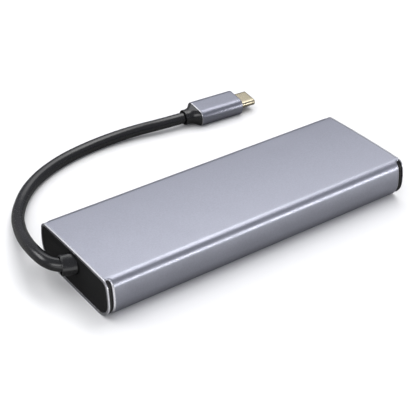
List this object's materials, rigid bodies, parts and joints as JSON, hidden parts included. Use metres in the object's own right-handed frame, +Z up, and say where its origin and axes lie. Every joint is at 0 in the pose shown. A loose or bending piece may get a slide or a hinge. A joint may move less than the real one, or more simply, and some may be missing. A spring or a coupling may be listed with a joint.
{
  "type": "laptop docking station",
  "caption": "Slim laptop docking station: ribless grey aluminium sleeve with black end caps, ports along one long side and a short captive lead with a USB-C plug.",
  "frame": {"origin": "middle of the body's underside, on the surface it stands on", "axes": "+X along the body, away from the lead's exit; -Y to the blank long side; +Y to the ports; +Z up"},
  "size_m": [0.1275, 0.0929, 0.0152],
  "materials": {
    "anodised_aluminium": "fine bead-blasted, clear grey anodised",
    "cut_aluminium": "machined, bright",
    "black_abs": "moulded, fine matte",
    "black_acrylic": "matte printed sheet",
    "black_steel": "black oxide",
    "black_tpe": "moulded and extruded, satin",
    "gold_plate": "gold-flashed steel, polished",
    "contact_gold": "gold plated",
    "nickel_steel": "nickel plated, satin",
    "port_plastic": "moulded",
    "usb3_plastic": "moulded blue",
    "solder_mask": "glossy solder mask on fibreglass",
    "chip_epoxy": "moulded epoxy",
    "ferrite": "pressed powder",
    "ceramic": "fired ceramic",
    "silicone_pad": "soft, tacky",
    "wire_pvc": "extruded"
  },
  "bodies": {
    "housing": {"cable": "black_tpe", "cable_collar": "black_tpe", "capacitors": "ceramic", "card_contact_base": "port_plastic", "card_reader_chip": "chip_epoxy", "card_socket": "nickel_steel", "crystals": "nickel_steel", "display_chip": "chip_epoxy", "end_cap_screws": "black_steel", "hdmi_contacts": "contact_gold", "hdmi_port": "nickel_steel", "hdmi_tongue": "port_plastic", "housing_sleeve": "anodised_aluminium", "hub_chip": "chip_epoxy", "inductors": "ferrite", "lead_wires": "wire_pvc", "left_end_cap": "black_abs", "left_face_plate": "black_acrylic", "left_trim_ring": "cut_aluminium", "main_board": "solder_mask", "plug_boot": "black_tpe", "plug_core": "black_abs", "plug_shell": "anodised_aluminium", "plug_tip": "gold_plate", "power_chip": "chip_epoxy", "right_end_cap": "black_abs", "right_face_plate": "black_acrylic", "right_trim_ring": "cut_aluminium", "slider_spring": "nickel_steel", "thermal_pad": "silicone_pad", "tip_contacts": "contact_gold", "tip_insulator": "port_plastic", "usb_a_1_contacts": "contact_gold", "usb_a_1_port": "nickel_steel", "usb_a_1_tongue": "usb3_plastic", "usb_a_2_contacts": "contact_gold", "usb_a_2_port": "nickel_steel", "usb_a_2_tongue": "usb3_plastic", "usb_a_3_contacts": "contact_gold", "usb_a_3_port": "nickel_steel", "usb_a_3_tongue": "usb3_plastic", "usb_c_contacts": "contact_gold", "usb_c_port": "nickel_steel", "usb_c_tongue": "port_plastic"},
    "card_slider": {"card_slider": "port_plastic"}
  },
  "joints": [
    {"name": "card_slider_travel", "type": "slide", "parent": "housing", "child": "card_slider", "axis": [0, -1, 0], "range_m": [0, 0.0012], "stiffness_N_per_m": 150, "springref_m": -0.0006, "deforming": ["slider_spring"]}
  ]
}
